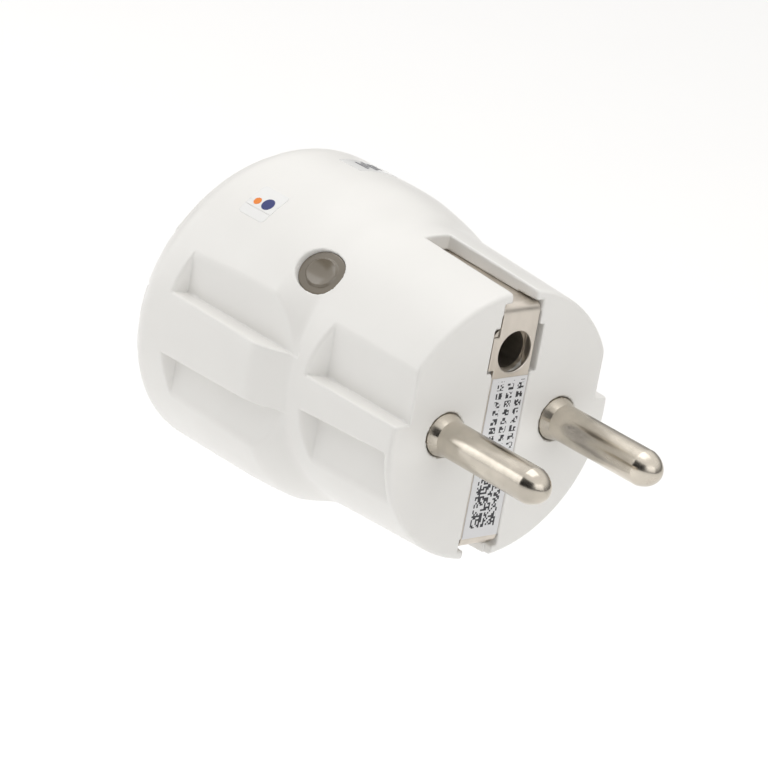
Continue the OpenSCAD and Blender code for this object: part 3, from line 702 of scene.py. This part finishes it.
# How far the film and the ink on it stand out from the barrel
FILM_LIFT, INK_LIFT = 0.045, 0.075
fine = 0.07
for name, node, at, half, corner, patch in (
    ("mark_film", "mark_sticker", MARK, (2.55, 2.5), 0.6, (2.6, 2.5)),
    ("info_film", "info_sticker", INFO, (3.5, 2.3), 0.4, (3.5, 2.3)),
):
    sheet = on_barrel(
        name,
        lambda p, at=at, half=half, corner=corner: film_field(p, *at, *half, corner, FILM_LIFT),
        *at, *patch, fine,
    )
    add(sheet, film, [node])
for name, look, at, shape in (
    ("mark_large", ink_blue, MARK, dot(0.15, -0.75, 0.95)),
    ("mark_small", ink_orange, MARK, dot(-0.1, 1.1, 0.58)),
    ("info_bars", ink_dark, INFO, bars),
):
    ink = on_barrel(name, lambda p, at=at, shape=shape: print_field(p, *at, shape, INK_LIFT),
                    *at, 1.9, 1.9, fine)
    add(ink, look)

# ---------------------------------------------------------------- floor, light and camera
scene = bpy.context.scene
scene.view_settings.view_transform = "Standard"
scene.view_settings.look = "None"
FLOOR_Z = -0.09

bpy.ops.mesh.primitive_plane_add(size=12, location=(0, 0, FLOOR_Z))
floor = bpy.context.object
floor.name = "floor"
floor_look = Shader("floor", (0.985, 0.985, 0.985), 0.9)
floor_look.color(floor_look.mix(floor_look.noise(30, 2), (0.98, 0.98, 0.98), (0.99, 0.99, 0.99)))
dress(floor, floor_look)

world = bpy.data.worlds.new("studio")
scene.world = world
world.use_nodes = True
sky = world.node_tree.nodes
wire = world.node_tree.links.new


def fade(value, start, end, low, high):
    """A soft step of the surroundings' brightness."""
    n = sky.new("ShaderNodeMapRange")
    n.interpolation_type = "SMOOTHSTEP"
    settings = (("From Min", start), ("From Max", end), ("To Min", low), ("To Max", high))
    for key, amount in settings:
        n.inputs[key].default_value = amount
    wire(value, n.inputs["Value"])
    return n.outputs[0]


def product(a, b):
    """The product of two brightnesses."""
    n = sky.new("ShaderNodeMath")
    n.operation = "MULTIPLY"
    wire(a, n.inputs[0])
    wire(b, n.inputs[1])
    return n.outputs[0]


direction = sky.new("ShaderNodeTexCoord").outputs["Generated"]
axes = sky.new("ShaderNodeSeparateXYZ")
wire(direction, axes.inputs[0])
tone = fade(axes.outputs["Z"], 0.05, 0.75, 0.2, 1.1)
# A dark gap between the softboxes gives the nickel its dark reflections
GAP_MIDDLE, GAP_TONE = (0.896, -0.390, -0.213), 0.07
toward = sky.new("ShaderNodeVectorMath")
toward.operation = "DOT_PRODUCT"
toward.inputs[1].default_value = GAP_MIDDLE
wire(direction, toward.inputs[0])
gap = product(fade(toward.outputs["Value"], 0.12, 0.3, 0, 1),
              fade(axes.outputs["Z"], 0.6, 0.75, 1, 0))
gap = product(gap, product(fade(axes.outputs["Y"], -0.44, -0.36, 0, 1),
                           fade(axes.outputs["Y"], 0.4, 0.6, 1, 0)))
wire(product(tone, fade(gap, 0, 1, 1, GAP_TONE)), sky["Background"].inputs[1])
sky["Background"].inputs[0].default_value = (1.0, 0.99, 0.975, 1)

# The camera: its direction from the part, its roll, and where it is along its own axes
AZIMUTH, ELEVATION, ROLL = math.radians(45.81), math.radians(19.94), math.radians(10.59)
CAMERA_AT = (-14.61, 5.33, 600)
camera_data = bpy.data.cameras.new("camera")
camera_data.sensor_width = 36
camera_data.lens = 225.6
camera_data.clip_start, camera_data.clip_end = 0.05, 20
camera = bpy.data.objects.new("camera", camera_data)
scene.collection.objects.link(camera)
aim = (Matrix.Rotation(AZIMUTH + math.pi / 2, 3, "Z")
       @ Matrix.Rotation(math.pi / 2 - ELEVATION, 3, "X")
       @ Matrix.Rotation(ROLL, 3, "Z"))
camera.matrix_world = Matrix.Translation(aim @ Vector(CAMERA_AT) * MM) @ aim.to_4x4()
scene.camera = camera


def softbox(name, place_at, size, watts):
    """A rectangular light that faces the middle of the part."""
    data = bpy.data.lights.new(name, "AREA")
    data.shape = "RECTANGLE"
    data.size, data.size_y = size
    data.energy = watts
    obj = bpy.data.objects.new(name, data)
    obj.location = place_at
    obj.rotation_mode = "QUATERNION"
    obj.rotation_quaternion = (Vector(place_at) - PART_MIDDLE).to_track_quat("Z", "Y")
    scene.collection.objects.link(obj)


PART_MIDDLE = Vector((0, -0.02, 0))
softbox("top", (0.0, -0.12, 0.45), (0.35, 0.35), 0.45)
softbox("side", (0.42, -0.6, 0.2), (0.5, 0.45), 1.2)
softbox("front", (0.25, 0.8, 0.4), (0.9, 0.6), 1.3)
